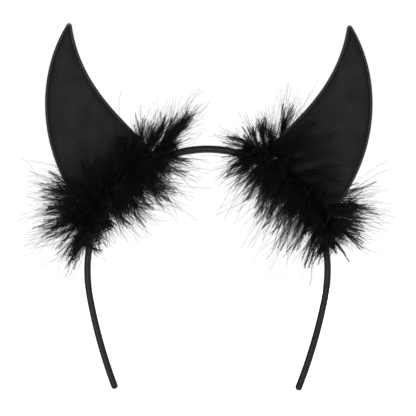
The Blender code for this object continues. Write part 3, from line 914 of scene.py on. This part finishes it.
def overlock(side_name):
    """The wrapping thread of one horn, and the needle's thread on both of its faces."""
    run, places, headings = free_edge(STITCH / WRAP_POINTS)
    inward = np.stack([-headings[:, 1], headings[:, 0]], axis=1)
    turn = 2 * np.pi * run / STITCH
    inset = WRAP_MIDDLE - WRAP_REACH * np.cos(turn)
    height = (PANEL_FACE + WRAP_PROUD) * np.sign(np.sin(turn)) * np.abs(np.sin(turn)) ** WRAP_POWER
    flat = [on_side(side_name, p) for p in places + inward * inset[:, None]]
    wrap = [(p.x, y, p.y) for p, y in zip(flat, height)]
    wrapping = thread_piece(f"{side_name}_horn_wrapping_thread", [wrap], WRAP_THREAD, thread_with_painted_highlight)

    run, places, headings = free_edge(STITCH / NEEDLE_POINTS)
    inward = np.stack([-headings[:, 1], headings[:, 0]], axis=1)
    flat = [on_side(side_name, p) for p in places + inward * (WRAP_MIDDLE + WRAP_REACH)]
    lift = PANEL_FACE - NEEDLE_DIP + NEEDLE_RISE * np.abs(np.sin(np.pi * run / STITCH))
    lines = [[(p.x, face * y, p.y) for p, y in zip(flat, lift)] for face in (-1, 1)]
    needle = thread_piece(f"{side_name}_horn_needle_thread", lines, NEEDLE_THREAD)
    for piece in (wrapping, needle):
        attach(piece, f"{side_name}_horn")
        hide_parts(f"{side_name}_horn_edge_stitching")
    return wrapping, needle


for side_name in SIDES:
    made = overlock(side_name)
    print(side_name, "overlock:", [len(piece.data.polygons) for piece in made], "faces")

# %% [markdown]
# ## The feather string
#
# Marabou is sold as a string: plumes twisted between two plies. It could be one plain cord with painted
# lines, but two plies wound round each other cost little and give the string its real ridges. Here it loops
# round the foot of the horn, along the front, round the end and back along the rear.

# %% The string's route
STRING_LIFT = 4.3 * MM
STRING_OFFSET = 5.8 * MM
STRING_START, STRING_END = math.radians(24), math.radians(64)
FACE_POINTS, TURN_POINTS = 60, 14
STRING_STEP = 0.35 * MM


def string_route(side):
    """The loop's middle line as evenly spaced points."""
    radius = crown_radius + STRING_LIFT
    end_turn = STRING_OFFSET / radius
    loop = []
    for face, first, last in ((-1, STRING_START, STRING_END), (1, STRING_END, STRING_START)):
        loop += [(angle, face * STRING_OFFSET) for angle in np.linspace(first, last, FACE_POINTS)]
        bulge = end_turn if face < 0 else -end_turn
        for turn in np.linspace(0, math.pi, TURN_POINTS)[1:-1]:
            loop.append((last + bulge * math.sin(turn), face * STRING_OFFSET * math.cos(turn)))
    loop.append(loop[0])
    fine = np.array([on_circle(side, radius, angle, y) for angle, y in loop])
    run = np.concatenate([[0], np.cumsum(np.linalg.norm(np.diff(fine, axis=0), axis=1))])
    even = np.arange(0, run[-1], STRING_STEP)
    return even, np.stack([np.interp(even, run, fine[:, k]) for k in range(3)], axis=1)


print("string round a horn's foot:", round(float(string_route(1)[0][-1]) / MM), "mm")

# %% [markdown]
# Each ply is a helix round the route, so at each point two directions across the route are needed: outwards
# from the crown's centre, and the one beside it.

# %% Twisted plies
PLY_RADIUS = 0.42 * MM
PLY_OFFSET = 0.33 * MM
PLY_PITCH = 4.2 * MM

for side_name, side in SIDES.items():
    run, middle_line = string_route(side)
    outward = middle_line - np.array([0, 0, circle_z])
    outward[:, 1] = 0
    outward /= np.linalg.norm(outward, axis=1)[:, None]
    ahead = np.gradient(middle_line, axis=0)
    ahead /= np.linalg.norm(ahead, axis=1)[:, None]
    beside_line = np.cross(ahead, outward)
    plies = []
    for phase in (0, math.pi):
        wind = (2 * math.pi * run / PLY_PITCH + phase)[:, None]
        plies.append(middle_line + PLY_OFFSET * (outward * np.cos(wind) + beside_line * np.sin(wind)))
    string = thread_piece(f"{side_name}_marabou_string", plies, PLY_RADIUS, dyed_string)
    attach(string, f"{side_name}_horn")
    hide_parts(f"{side_name}_feather_string")
    print(string.name, len(string.data.polygons), "faces")

# %% [markdown]
# One stitch at the crown end of the right string was left slack. Its loop of glossy thread, with the same
# painted highlight as the rim's thread, comes out through the plumes twice, and the two small peaks are the
# brightest spots in the trim.

# %% Slack stitch
SLACK_THREAD = 0.18 * MM
SLACK_STITCH = [(36.2, -6.6, -4.4), (36.4, -14, -3.6), (36.9, -21.5, -2.9), (37.4, -20.7, -3.4),
                (37.9, -21.5, -2.9), (38.5, -14, -3.6), (38.6, -6.6, -4.8)]
slack = thread_piece("right_slack_stitch", [np.array(SLACK_STITCH) * MM], SLACK_THREAD, thread_with_painted_highlight)
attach(slack, "right_horn")
print(slack.name, len(slack.data.polygons), "faces")

# %% [markdown]
# ## Marabou plumes
#
# A marabou plume is a weak quill with long loose barbs that have no hooks, so they don't zip into a vane.
# They cling together in damp-looking points, with single hairs straying far beyond. A particle system would
# scatter hairs evenly, which looks like fur. So every plume is drawn here as locks. A lock is an axis from
# the string to its tip, a few points near that tip, and strands that leave the axis one after another and
# meet at one of the points.
#
# Two sets of locks make a tuft. The outer set is listed one by one, because the way the plumes are combed
# decides the outline: each row is where the lock starts round the band, where its tip lies, its face, how
# many strands it has, and how far it fans out. The inner set fills the core at random, in all directions
# round the string.

# %% Locks listed one by one
# start angle, tip X and Z in mm, face (-1 front, 1 back), strands, fan
COMBED_LOCKS = {
    "left": [
        (68, -8, 21.5, -1, 300, 0.16), (66, -13.5, 17, -1, 170, 0.25), (63, -23, 19.5, 1, 150, 0.22),
        (64, -17.5, 13, 1, 160, 0.30), (58, -30.5, 15, 1, 130, 0.26), (56, -38, 20.5, 1, 150, 0.26),
        (58, -25.5, 14, -1, 160, 0.30), (66, -14.5, 6, -1, 130, 0.30), (62, -9, -6.5, -1, 70, 0.22),
        (60, -14, -12, 1, 65, 0.30), (57, -13, -20, -1, 60, 0.28), (54, -19.5, -23, -1, 125, 0.32),
        (52, -20, -27, 1, 100, 0.30), (49, -24, -28, -1, 210, 0.32), (44, -29.5, -33, -1, 210, 0.30),
        (40, -36, -36.5, 1, 170, 0.34), (36, -42.5, -39, -1, 190, 0.32), (33, -47, -43.5, 1, 150, 0.30),
        (29, -53.5, -44, -1, 200, 0.28), (30, -56.5, -49.5, -1, 130, 0.20), (22, -59.5, -55.5, 1, 60, 0.22),
        (12, -59, -58.5, -1, 36, 0.22), (37, -32, -35, -1, 130, 0.34),
        (34, -91, -14, 1, 110, 0.16), (33, -87, -18, -1, 120, 0.32), (36, -92, -7.5, 1, 20, 0.16),
        (33, -96, -22.5, 1, 100, 0.16), (32, -91, -24.5, -1, 150, 0.34), (30, -95.5, -29, 1, 130, 0.18),
        (29, -88.5, -32, -1, 180, 0.36), (27, -94, -37, 1, 105, 0.20), (27, -97, -43.5, -1, 110, 0.24),
        (26, -95, -47, 1, 80, 0.22), (26, -90.5, -48.5, -1, 100, 0.26), (25, -85.5, -53.5, -1, 90, 0.24),
        (22, -82, -61, 1, 140, 0.20), (20, -78, -65, -1, 160, 0.18), (18, -74, -61, -1, 180, 0.20),
        (15, -70.5, -54, 1, 150, 0.18),
        (31, -84, -30, 1, 130, 0.40), (34, -82, -23, 1, 120, 0.40), (27, -83, -38, 1, 120, 0.36),
        (24, -70.5, -5, -1, 120, 0.20), (28, -65, -8, -1, 110, 0.20), (33, -60.5, -6, -1, 120, 0.20),
        (37, -56.5, 0, -1, 120, 0.20), (41, -52.5, 6, -1, 130, 0.20), (45, -48.5, 9.5, -1, 120, 0.20),
        (49, -43, 10.5, -1, 120, 0.24), (53, -37.5, 10.5, -1, 110, 0.26), (26, -75.5, -13, -1, 90, 0.26),
        (71, -18.5, 4, -1, 90, 0.45), (71, -18.5, 3, 1, 60, 0.45),
    ],
    "right": [
        (58, 47, 28.5, 1, 170, 0.14), (55, 53.5, 26, 1, 60, 0.14), (60, 39, 18.5, 1, 90, 0.34),
        (64, 28, 18, -1, 190, 0.28), (66, 23.5, 15, 1, 90, 0.30), (67, 18.5, 13.5, 1, 80, 0.34),
        (68, 11.5, 9.5, -1, 80, 0.16), (69, 9, 5.5, 1, 40, 0.24), (61, 34.5, 15.5, -1, 140, 0.32),
        (70, 9, -4.5, -1, 45, 0.30), (69, 12, -9, 1, 50, 0.30), (67, 8, -13.5, -1, 100, 0.16),
        (66, 14, -13.5, -1, 110, 0.24), (64, 12, -18.5, 1, 60, 0.16), (62, 19.5, -20.5, -1, 210, 0.24),
        (60, 21.5, -27.5, 1, 120, 0.20), (57, 27, -30, -1, 190, 0.24), (54, 27.5, -38, -1, 120, 0.16),
        (51, 34, -35.5, -1, 190, 0.24), (48, 34, -43, 1, 110, 0.20), (44, 37.5, -45.5, -1, 180, 0.26),
        (40, 39.5, -54.5, -1, 110, 0.16), (36, 45.5, -54, -1, 90, 0.22), (30, 49, -62, 1, 70, 0.18),
        (26, 53.5, -65, -1, 70, 0.15), (22, 57, -65, 1, 80, 0.14), (17, 60.5, -62.5, -1, 90, 0.14),
        (34, 49, -46, -1, 110, 0.30), (24, 57, -53, -1, 110, 0.24),
        (14, 72.5, -58.5, -1, 32, 0.22), (18, 80, -60.5, 1, 36, 0.20), (20, 78.5, -49.5, -1, 120, 0.26),
        (21, 87, -51.5, -1, 130, 0.13), (22, 83, -44.5, 1, 120, 0.24), (23, 91, -47, 1, 90, 0.16),
        (24, 86.5, -42, -1, 170, 0.20), (26, 94, -39, 1, 110, 0.14), (27, 87, -34.5, -1, 210, 0.24),
        (28, 95, -31.5, 1, 120, 0.14), (29, 86.5, -29, -1, 115, 0.22), (30, 94, -26, 1, 50, 0.16),
        (31, 96.5, -20.5, 1, 40, 0.13), (32, 93, -16, 1, 25, 0.14), (30, 84.5, -24.5, 1, 65, 0.24),
        (64, 47, 10, -1, 90, 0.45), (61, 56, 13, -1, 70, 0.45), (59, 60, 5, -1, 70, 0.50),
        (53, 64, -2, -1, 70, 0.50), (47, 65, -10, -1, 80, 0.45), (39, 69, -14.5, -1, 80, 0.42),
        (32, 74, -21.5, -1, 70, 0.40), (60, 43, 1.5, -1, 90, 0.50),
        (66, 58, 16, -1, 40, 0.45), (62, 67, 13, -1, 34, 0.45), (60, 73, 9, -1, 26, 0.45),
        (22, 71, -48, -1, 80, 0.34), (19, 68, -48, 1, 60, 0.34),
        (55, 74, 2, -1, 26, 0.50), (50, 74, -6, -1, 26, 0.50),
    ],
}
print("locks placed by hand:", {name: len(rows) for name, rows in COMBED_LOCKS.items()})

# %% [markdown]
# A lock's axis starts on the string and bows away from the horn. The points where its strands meet lie
# along the last part of the axis, spread sideways by the lock's fan: a small fan gives one sharp wisp, a
# wide one a ragged edge.

# %% Axis and points of a lock
ROOT_LIFT_SCATTER, ROOT_DEPTH, ROOT_DEPTH_SCATTER = 1.0 * MM, 0.9 * MM, 0.5 * MM
LOCK_BOW = (0.16, 0.05)  # off the horn and upwards, as shares of the lock's length
STRANDS_PER_POINT, LEAST_POINTS = 18, 3
POINTS_ALONG, POINTS_POWER = (0.55, 1.02), 0.8
FAN_SHAPE, FAN_SHARE = np.array([1, 0.8, 1]), 0.5


def root_points(side, angles, face, rng):
    """Places on the string at these angles, scattered over its thickness; past its ends, on its line."""
    lift = crown_radius + STRING_LIFT + rng.normal(0, ROOT_LIFT_SCATTER, len(angles))
    depth = face * (STRING_OFFSET + ROOT_DEPTH + rng.normal(0, ROOT_DEPTH_SCATTER, len(angles)))
    return np.stack([side * lift * np.cos(angles), depth, circle_z + lift * np.sin(angles)], axis=1)


def lock_axis(root, reach, length, face):
    """The lock's bowed middle line, as a function of the share of the way to its tip."""
    bow = np.array([0, face * LOCK_BOW[0] * length, LOCK_BOW[1] * length])

    def on_axis(share):
        return root + share[:, None] * reach + (4 * share * (1 - share))[:, None] * bow

    return on_axis


def lock_points(on_axis, ahead, length, count, fan, rng):
    """The points near the tip where the strands meet, spread by the fan."""
    number = max(LEAST_POINTS, count // STRANDS_PER_POINT)
    points = on_axis(rng.uniform(*POINTS_ALONG, number) ** POINTS_POWER)
    sideways = rng.normal(0, 1, (number, 3))
    sideways -= (sideways @ ahead)[:, None] * ahead
    return points + sideways * FAN_SHAPE * fan * length * FAN_SHARE


print("a lock has one meeting point for every", STRANDS_PER_POINT, "strands")

# %% [markdown]
# Most strands end close to one of the points, and some end loose around it as fuzz. They leave the axis at
# different places, so a lock is thick at its foot and thins out towards its tip. A few strays reach well
# past the lock, and the longest of them are cut off, which keeps the trim to its size.

# %% Ends and starts of the strands
POINT_SCATTER, AXIS_SCATTER = 0.20 * MM, 0.3 * MM
FUZZ_SHARE, FUZZ_SCATTER = 0.25, 0.11
STRAND_LENGTHS = (0.35, 0.95)
ROOT_SPREAD = math.radians(2.4)
STRAY_SHARE, STRAY_SWING, STRAY_REACH = 0.075, 0.13, (1.08, 1.42)
FARTHEST_TIP = np.array([106, 28, 200]) * MM


def strand_ends(points, length, count, rng):
    """Where each strand ends, which point it goes to, and which ones are fuzz."""
    chosen = rng.integers(0, len(points), count)
    end = points[chosen] + rng.normal(0, POINT_SCATTER, (count, 3))
    fuzz = rng.random(count) < FUZZ_SHARE
    end[fuzz] += rng.normal(0, FUZZ_SCATTER * length, (fuzz.sum(), 3))
    return end, chosen, fuzz


def strand_starts(on_axis, reached, side, root_angle, face, rng):
    """Where each strand leaves the axis. One that leaves at the foot starts on the string."""
    count = len(reached)
    share = np.clip(reached - rng.uniform(*STRAND_LENGTHS, count), 0, 1)
    start = on_axis(share) + rng.normal(0, AXIS_SCATTER, (count, 3)) * (1 + share[:, None])
    at_foot = share == 0
    turns = root_angle + rng.normal(0, ROOT_SPREAD, at_foot.sum())
    start[at_foot] = root_points(side, turns, face, rng)
    return start


def with_strays(end, root, length, rng):
    """The ends with a few of them sent far past the lock, and which ones those are."""
    stray = rng.random(len(end)) < STRAY_SHARE
    swing = rng.normal(0, STRAY_SWING * length, (stray.sum(), 3))
    end[stray] = root + (end[stray] - root) * rng.uniform(*STRAY_REACH, (stray.sum(), 1)) + swing
    return np.clip(end, -FARTHEST_TIP, FARTHEST_TIP), stray


print("strays:", STRAY_SHARE, "of the strands; fuzz:", FUZZ_SHARE)

# %% [markdown]
# A real barb is 0.03 to 0.05 mm thick, and a tuft has far more of them than can be drawn. So each strand
# here is three to five times as thick as a real one, and tapers from its start to its end. It is a Bezier
# curve that leaves along the lock and arrives from the lock's root, with a little curl.

# %% Strands of a lock
STRAND_POINTS = 6
HAIR_RADII = (0.082 * MM, 0.030 * MM)
FUZZ_RADII = (0.060 * MM, 0.020 * MM)
STRAY_RADII = (0.100 * MM, 0.055 * MM)
RADIUS_VARIATION = (0.75, 1.25)
MERGE_SCATTER = 0.10
LEAVE_SHARE, ARRIVE_SHARE = 0.34, 0.36
CURL, LOOSE_CURL, ARRIVE_CURL = 0.05, 0.11, 0.5


def curled_paths(start, end, ahead, arrival, loose, rng):
    """A few points along each strand's curve."""
    size = np.linalg.norm(end - start, axis=1)[:, None]
    curl = rng.normal(0, 1, (2, len(end), 3)) * np.where(loose, LOOSE_CURL, CURL)[:, None]
    lift_off = start + size * (LEAVE_SHARE * ahead + curl[0])
    arrive = end - size * (ARRIVE_SHARE * arrival + ARRIVE_CURL * curl[1])
    t = np.linspace(0, 1, STRAND_POINTS)[:, None, None]
    paths = (start * (1 - t) ** 3 + lift_off * 3 * t * (1 - t) ** 2
             + arrive * 3 * t**2 * (1 - t) + end * t**3)
    return paths.transpose(1, 0, 2)


def strands_of_lock(side, root_angle, tip, face, count, fan, rng):
    """The strands of one lock: points along each strand, and its radius at each point."""
    root = root_points(side, np.array([root_angle]), face, rng)[0]
    reach = tip - root
    length = np.linalg.norm(reach)
    ahead = reach / length
    on_axis = lock_axis(root, reach, length, face)
    points = lock_points(on_axis, ahead, length, count, fan, rng)
    end, chosen, fuzz = strand_ends(points, length, count, rng)
    reached = np.linalg.norm(end - root, axis=1) / length
    start = strand_starts(on_axis, reached, side, root_angle, face, rng)
    end, stray = with_strays(end, root, length, rng)
    merged = points - root + rng.normal(0, MERGE_SCATTER * length, points.shape)
    merged /= np.linalg.norm(merged, axis=1)[:, None]
    paths = curled_paths(start, end, ahead, merged[chosen], fuzz | stray, rng)
    radii = np.where(fuzz[:, None], np.linspace(*FUZZ_RADII, STRAND_POINTS),
                     np.linspace(*HAIR_RADII, STRAND_POINTS))
    radii[stray] = np.linspace(*STRAY_RADII, STRAND_POINTS)
    return paths, radii * rng.uniform(*RADIUS_VARIATION, (count, 1))


print("a strand is", round(2 * HAIR_RADII[0] / MM, 2), "mm thick at its start")

# %% [markdown]
# Under the combed locks the core is a dense brush round the string. Each side has its own reach, measured
# inwards and outwards from the band's line at a few angles, because one tuft is fuller than the other. The
# locks get sparser towards the trim's lower end, where the real string runs out of plumes.

# %% Core locks
CORE_LOCKS, CORE_STRANDS = 36, 48
CORE_FAN = 0.55
END_THINNING = 0.60  # under 1: sparser towards the trim's lower end
TUFT_ENDS = [math.radians(a) for a in (73, 57, 41, 25, 9)]
CORE_AROUND = (math.radians(-65), math.radians(245))
COMB_MIDDLE, COMB_HALF = math.radians(40), math.radians(34)
COMB_SHARE, COMB_SCATTER, COMB_SLIDE = 0.75, 0.25, 4 * MM
FACE_REACH, LEAST_DEPTH = 13 * MM, -0.5
TIP_VARIATION = (0.97, 1.03)
# angle in degrees and reach in mm
CORE_REACH = {
    "left": {"inner": [(9, 4), (20, 7), (30, 9), (45, 16), (60, 14), (73, 4)],
             "outer": [(9, 6), (20, 13), (30, 14), (45, 12), (60, 12), (73, 7)]},
    "right": {"inner": [(9, 5), (20, 8), (30, 12), (45, 17), (60, 14), (73, 6)],
              "outer": [(9, 3), (17, 9), (28, 12), (45, 11), (60, 14), (73, 6)]},
}


def core_locks(side_name, face, first, last, rng):
    """Random locks round the string between two angles: start angle, tip and fan."""
    side = SIDES[side_name]
    thinning = END_THINNING if last == TUFT_ENDS[-1] else 1.0
    made = []
    for _ in range(CORE_LOCKS):
        turn = last + (first - last) * rng.random() ** thinning
        around = rng.uniform(*CORE_AROUND)
        across = math.cos(around)
        reach = {
            name: np.interp(math.degrees(turn), *zip(*CORE_REACH[side_name][name])) * MM
            for name in ("inner", "outer")
        }
        sweep = (turn - COMB_MIDDLE) / COMB_HALF * COMB_SHARE + rng.normal(0, COMB_SCATTER)
        radial = crown_radius + across * (reach["outer"] if across > 0 else reach["inner"])
        depth = face * (STRING_OFFSET + FACE_REACH * max(math.sin(around), LEAST_DEPTH))
        slide = sweep * COMB_SLIDE / crown_radius
        tip = np.array(on_circle(side, radial, turn + slide, depth))
        made.append((turn, tip * rng.uniform(*TIP_VARIATION), CORE_FAN))
    return made


print("core locks in a tuft:", CORE_LOCKS, "of", CORE_STRANDS, "strands")

# %% [markdown]
# Real plumes are pushed aside by the band and by the horn's cloth. So a strand that would cross the sleeve or
# the cloth is moved out to a clear distance in front of it or behind it. The distance is larger where the
# band bends away from the trim.

# %% Room for the band and the horn
BAND_CLEAR = (4.5 * MM, 3.6 * MM)  # depth off the middle plane, and how far from the band's line it holds
BENDING_BAND_CLEAR = (5.6 * MM, 6.0 * MM)
STILL_BAND = (17, 69)  # between these angles, in degrees, the band doesn't bend
HORN_CLEAR = 2.7 * MM
HORN_SPAN = (19, 72)
NO_LIMIT = -1.0


def kept_clear(paths, side, face):
    """Pushes strands out of the band's sleeve, also where it bends away, and off the horn's cloth."""
    flat = paths[..., [0, 2]] - np.array([0, circle_z])
    radial = np.linalg.norm(flat, axis=-1) - crown_radius
    turn = np.degrees(np.arctan2(flat[..., 1], side * flat[..., 0]))
    bending = (turn < STILL_BAND[0]) | (turn > STILL_BAND[1])
    depth, reach = (np.where(bending, *pair) for pair in zip(BENDING_BAND_CLEAR, BAND_CLEAR))
    over_band = np.abs(radial) < reach
    over_horn = (radial > reach) & (turn > HORN_SPAN[0]) & (turn < HORN_SPAN[1])
    least = np.where(over_band, depth, np.where(over_horn, HORN_CLEAR, NO_LIMIT))
    paths[..., 1] = face * np.maximum(face * paths[..., 1], least)
    return paths


print("plumes stay", HORN_CLEAR / MM, "mm off the horn's middle plane")

# %% [markdown]
# Thousands of strands are swept at once as splines of one curve, whose bevel object is a triangle. Three
# sides are enough for a hair, and each spline point scales the triangle to the strand's radius. Extruding
# each strand in a bmesh would make the same tubes, but far more slowly.

# %% Strands as a mesh
SECTION_TURNS = (0, 120, 240)
HAIR_MERGE = 0.0001 * MM


def hair_mesh(name, paths, radii):
    """Thin three-sided tapered tubes through the points of each strand, closed at both ends."""
    corners = bpy.data.curves.new("strand_section", "CURVE")
    corners.dimensions = "2D"
    ring = corners.splines.new("POLY")
    ring.points.add(len(SECTION_TURNS) - 1)
    for point, turn in zip(ring.points, SECTION_TURNS):
        point.co = (math.cos(math.radians(turn)), math.sin(math.radians(turn)), 0, 1)
    ring.use_cyclic_u = True
    section = bpy.data.objects.new("strand_section", corners)
    bpy.context.scene.collection.objects.link(section)
    curve = bpy.data.curves.new(name, "CURVE")
    curve.dimensions = "3D"
    curve.bevel_mode = "OBJECT"
    curve.bevel_object = section
    curve.use_fill_caps = True
    for points, widths in zip(paths, radii):
        add_spline(curve, points).points.foreach_set("radius", widths.astype(np.float32))
    piece = piece_of_curve(name, curve, plume_down, HAIR_MERGE)
    bpy.data.objects.remove(section)
    return piece


print("a strand has", len(SECTION_TURNS), "sides")

# %% [markdown]
# Each tuft takes the place of one simple solid of the frame, four in front of a horn and four behind it. The
# combed locks get a little more strands and reach than their rows say, so that they stand out of the core.
# Every tuft has its own seed, so it comes out the same each time.

# %% The tufts
COMBED_DENSITY, COMBED_REACH = 1.45, 1.06
COMBED_DEPTH = (0.1, 0.5)


def combed_locks(side_name, face, first, last, above, rng):
    """The strands of the listed locks that start between two angles."""
    side = SIDES[side_name]
    made = []
    for start, x, z, row_face, count, fan in COMBED_LOCKS[side_name]:
        turn = math.radians(start)
        if row_face == face and last <= turn < first + above:
            length = math.hypot(x * MM, z * MM - circle_z) - crown_radius
            depth = face * (STRING_OFFSET + rng.uniform(*COMBED_DEPTH) * abs(length))
            tip = np.array((x * MM, depth, z * MM))
            foot = np.array(on_circle(side, crown_radius, turn, depth))
            tip += (tip - foot) * (COMBED_REACH - 1)
            strands = round(count * COMBED_DENSITY)
            made.append(strands_of_lock(side, turn, tip, face, strands, fan, rng))
    return made


def tuft(side_name, face_name, face, number):
    """One marabou plume cluster, in the place of one CAD tuft."""
    side = SIDES[side_name]
    first, last = TUFT_ENDS[number - 1], TUFT_ENDS[number]
    above = 1 if number == 1 else 0  # the uppermost tuft also takes the locks that start above it
    rng = np.random.default_rng([number, face + 2, side + 2])
    locks = combed_locks(side_name, face, first, last, above, rng)
    for turn, tip, fan in core_locks(side_name, face, first, last, rng):
        locks.append(strands_of_lock(side, turn, tip, face, CORE_STRANDS, fan, rng))
    paths, radii = (np.concatenate(arrays) for arrays in zip(*locks))
    paths = kept_clear(paths, side, face)
    piece = hair_mesh(f"{side_name}_marabou_{face_name}_{number}", paths, radii)
    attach(piece, f"{side_name}_horn")
    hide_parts(f"{side_name}_{face_name}_plumes_{number}")
    print(piece.name, len(paths), "strands")


for side_name in SIDES:
    for face_name, face in (("front", -1), ("back", 1)):
        for number in range(1, len(TUFT_ENDS)):
            tuft(side_name, face_name, face, number)
